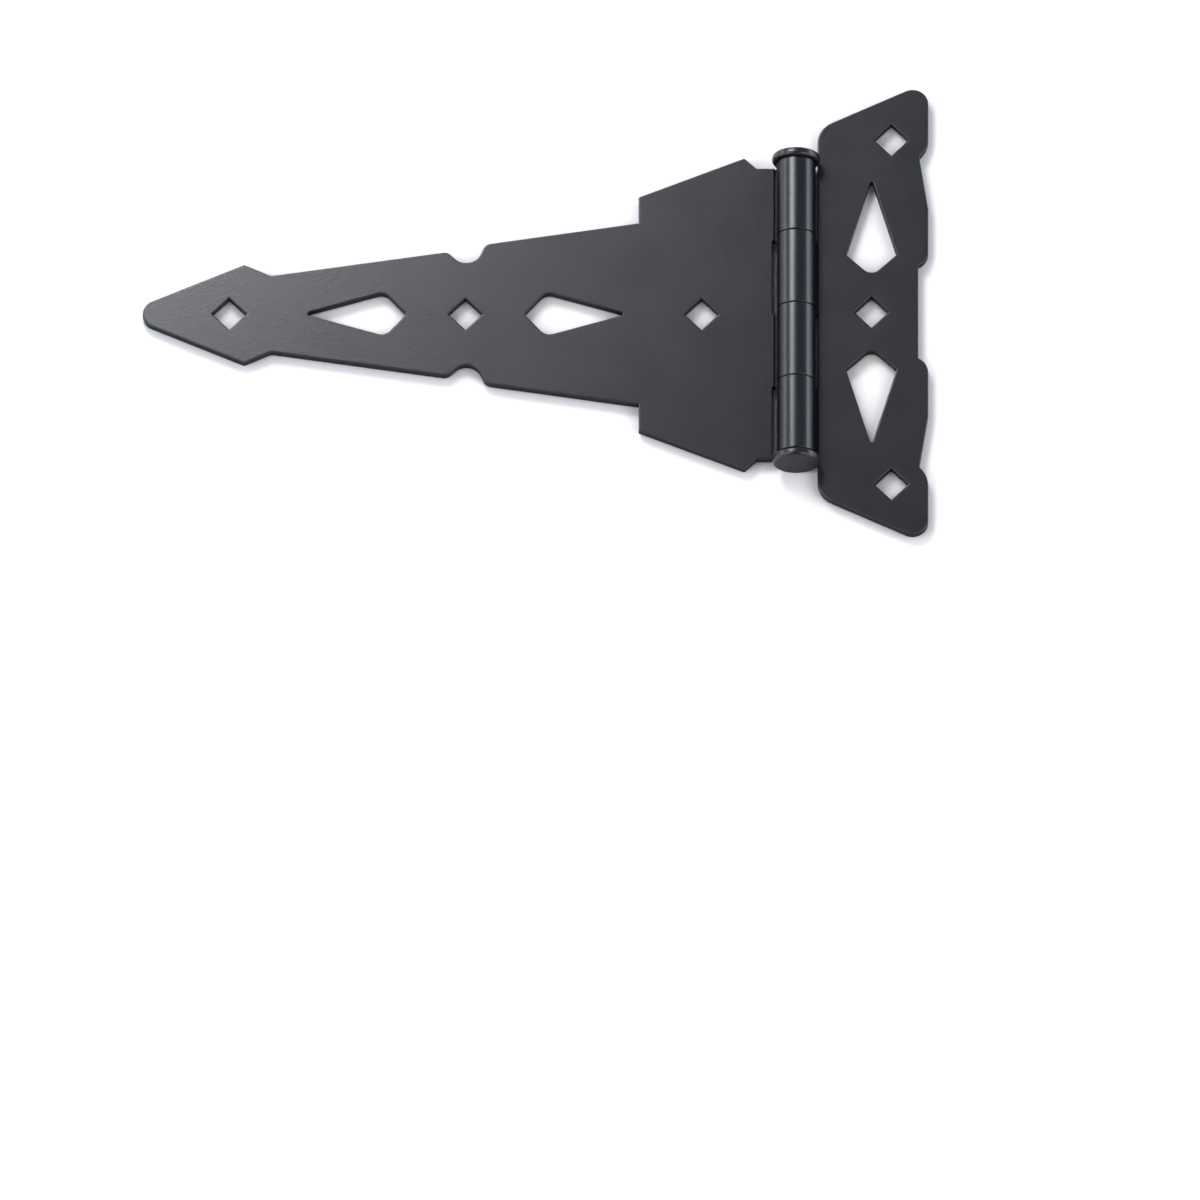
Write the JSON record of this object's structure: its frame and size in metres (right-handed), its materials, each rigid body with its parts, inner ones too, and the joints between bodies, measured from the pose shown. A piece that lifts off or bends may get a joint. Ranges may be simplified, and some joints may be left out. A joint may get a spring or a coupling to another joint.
{
  "type": "tee hinge",
  "caption": "Black steel tee hinge with a long pierced strap leaf, a tall eared post leaf and rolled knuckles that interleave on a headed pin.",
  "frame": {"origin": "on the plane of the backs of both leaves, straight under the middle of the pin", "axes": "+X from the pin towards the tee leaf, with the strap along -X; +Y along the pin, upwards as hung; +Z out from the gate"},
  "size_m": [0.2443, 0.1514, 0.015],
  "materials": {
    "strap_leaf": "satin black powder coat",
    "tee_leaf": "satin black powder coat",
    "pin": "satin black powder coat"
  },
  "bodies": {
    "post_side": {"tee_leaf": "tee_leaf", "pin": "pin"},
    "gate_side": {"strap_leaf": "strap_leaf"}
  },
  "joints": [
    {"name": "strap_turn", "type": "hinge", "parent": "post_side", "child": "gate_side", "pos_m": [0, 0, 0.0061], "axis": [0, 1, 0], "range_deg": [-90, 180]}
  ]
}
